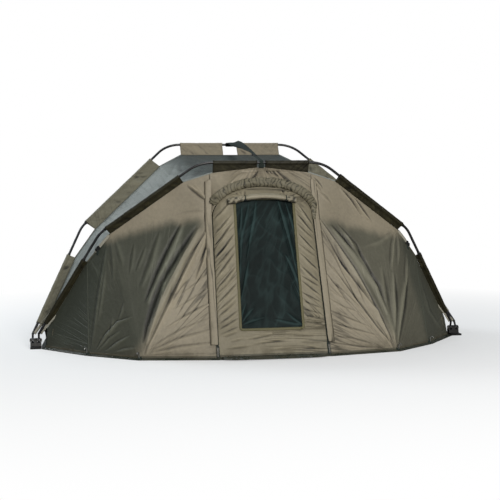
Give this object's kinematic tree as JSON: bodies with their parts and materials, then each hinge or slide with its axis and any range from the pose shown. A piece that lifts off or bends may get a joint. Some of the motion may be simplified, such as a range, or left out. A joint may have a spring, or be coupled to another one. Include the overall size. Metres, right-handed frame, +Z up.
{
  "type": "bivvy tent",
  "caption": "Two-hoop bivvy tent that closes like a pram hood, with a zipped drop-down door, mesh window and pegged hem.",
  "frame": {"origin": "on the ground, midway between the two ground hubs, on the underside of the ground sheet", "axes": "+X to the right of someone facing the door, along the hub axis; +Y from the door to the back; +Z up"},
  "size_m": [2.981, 2.269, 1.3853],
  "materials": {
    "panel_cloth": "coated woven polyester",
    "roof_cloth": "coated woven polyester, taut",
    "rear_sleeve_cloth": "coated woven polyester",
    "front_sleeve_cloth": "dark coated polyester",
    "pole_paint": "satin black",
    "hub_plastic": "moulded",
    "steel": "bright zinc",
    "window_net": "fine dark mesh with a film gloss",
    "cover_cloth": "coated woven polyester, rolled",
    "sheet_pvc": "glossy coated groundsheet",
    "webbing": "woven webbing"
  },
  "bodies": {
    "root": {"ground_sheet": "sheet_pvc", "hub_left": "hub_plastic", "hub_right": "hub_plastic", "hub_pin_left": "steel", "hub_pin_right": "steel", "peg_front_inner_left": "steel", "peg_front_inner_right": "steel", "peg_front_outer_left": "steel", "peg_front_outer_right": "steel", "peg_rear_left": "steel", "peg_rear_right": "steel", "rear_wall_left": "panel_cloth", "rear_wall_centre": "panel_cloth", "rear_wall_right": "panel_cloth", "rear_vent_hood": "panel_cloth"},
    "rear_hoop": {"rear_leg_left": "pole_paint", "rear_leg_right": "pole_paint", "rear_elbow_left": "pole_paint", "rear_elbow_right": "pole_paint", "rear_side_pole_left": "pole_paint", "rear_side_pole_right": "pole_paint", "rear_crown_pole": "pole_paint", "rear_leg_sleeve_left": "rear_sleeve_cloth", "rear_leg_sleeve_right": "rear_sleeve_cloth", "rear_side_sleeve_left": "rear_sleeve_cloth", "rear_side_sleeve_right": "rear_sleeve_cloth", "rear_crown_sleeve_left": "rear_sleeve_cloth", "rear_crown_sleeve_right": "rear_sleeve_cloth", "roof_crown": "roof_cloth", "roof_slope_left": "roof_cloth", "roof_slope_right": "roof_cloth", "roof_wall_left": "roof_cloth", "roof_wall_right": "roof_cloth"},
    "front_hoop": {"front_leg_left": "pole_paint", "front_leg_right": "pole_paint", "front_elbow_left": "pole_paint", "front_elbow_right": "pole_paint", "front_side_pole_left": "pole_paint", "front_side_pole_right": "pole_paint", "front_crown_pole": "pole_paint", "front_leg_sleeve_left": "front_sleeve_cloth", "front_leg_sleeve_right": "front_sleeve_cloth", "front_side_sleeve_left": "front_sleeve_cloth", "front_side_sleeve_right": "front_sleeve_cloth", "front_crown_sleeve_left": "front_sleeve_cloth", "front_crown_sleeve_right": "front_sleeve_cloth", "front_wing_left": "panel_cloth", "front_wing_right": "panel_cloth", "front_header": "panel_cloth", "arch_hood": "panel_cloth", "storm_flap_left": "panel_cloth", "storm_flap_right": "panel_cloth", "door_zip_left": "webbing", "door_zip_right": "webbing", "ridge_strap": "webbing"},
    "door": {"door_panel": "panel_cloth", "window_net": "window_net", "window_cover_roll": "cover_cloth"},
    "zip_slider_left": {"zip_slider_left": "steel"},
    "zip_slider_right": {"zip_slider_right": "steel"}
  },
  "joints": [
    {"name": "rear_hoop_fold", "type": "hinge", "parent": "root", "child": "rear_hoop", "pos_m": [0, 0, 0.05], "axis": [1, 0, 0], "range_deg": [0, 23], "deforming": ["rear_wall_left", "rear_wall_centre", "rear_wall_right", "rear_vent_hood"]},
    {"name": "front_hoop_fold", "type": "hinge", "parent": "rear_hoop", "child": "front_hoop", "pos_m": [0, 0, 0.05], "axis": [-1, 0, 0], "range_deg": [0, 46], "deforming": ["roof_crown", "roof_slope_left", "roof_slope_right", "roof_wall_left", "roof_wall_right", "ridge_strap"]},
    {"name": "door_drop", "type": "hinge", "parent": "front_hoop", "child": "door", "pos_m": [0, -0.783, 0.01], "axis": [1, 0, 0], "range_deg": [0, 100]},
    {"name": "zip_slide_left", "type": "slide", "parent": "front_hoop", "child": "zip_slider_left", "axis": [0.0181, 0.3814, 0.9242], "range_m": [0, 0.84]},
    {"name": "zip_slide_right", "type": "slide", "parent": "front_hoop", "child": "zip_slider_right", "axis": [-0.0181, 0.3814, 0.9242], "range_m": [0, 0.84]}
  ],
  "couplings": [
    {"joint": "front_hoop_fold", "follows": "rear_hoop_fold", "ratio": 2}
  ]
}
